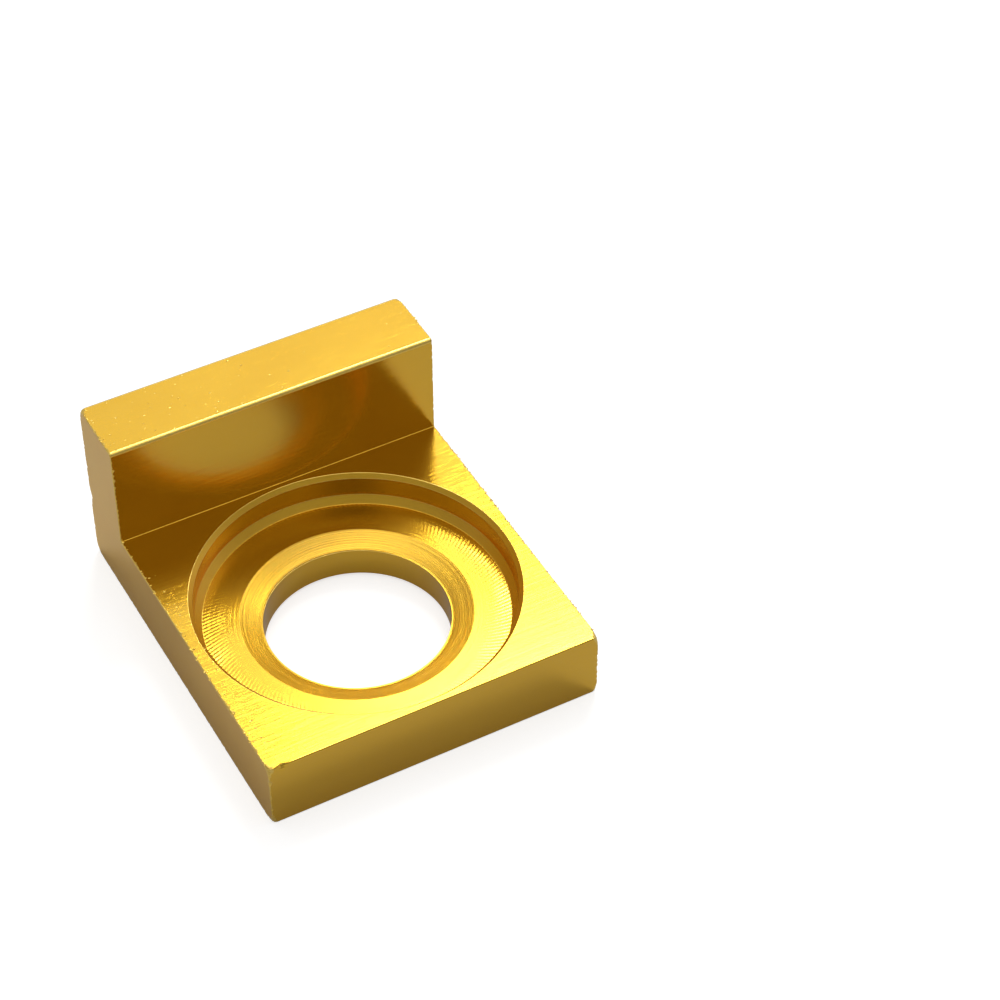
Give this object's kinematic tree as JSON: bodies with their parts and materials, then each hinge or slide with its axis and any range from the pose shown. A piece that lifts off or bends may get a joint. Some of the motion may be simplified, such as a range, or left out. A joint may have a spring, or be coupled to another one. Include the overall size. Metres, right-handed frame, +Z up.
{
  "type": "chain adjuster block",
  "caption": "L-shaped aluminium axle block for chain tension: a base plate with a counterbored axle hole and an upright flange for the adjusting bolt.",
  "frame": {"origin": "on the axle bore's axis, at the underside of the base plate (the bore's wall starts 0.4 mm above it, past the rim's edge break)", "axes": "+Z up along the axle bore, out of the nut recess; +Y towards the upright flange; X across the width, between the two cut ends"},
  "size_m": [0.038, 0.045, 0.0211],
  "materials": {
    "gold_anodising": "gold anodised, satin outside, turned finish in the recess"
  },
  "bodies": {
    "root": {"adjuster_block": "gold_anodising"}
  },
  "joints": []
}
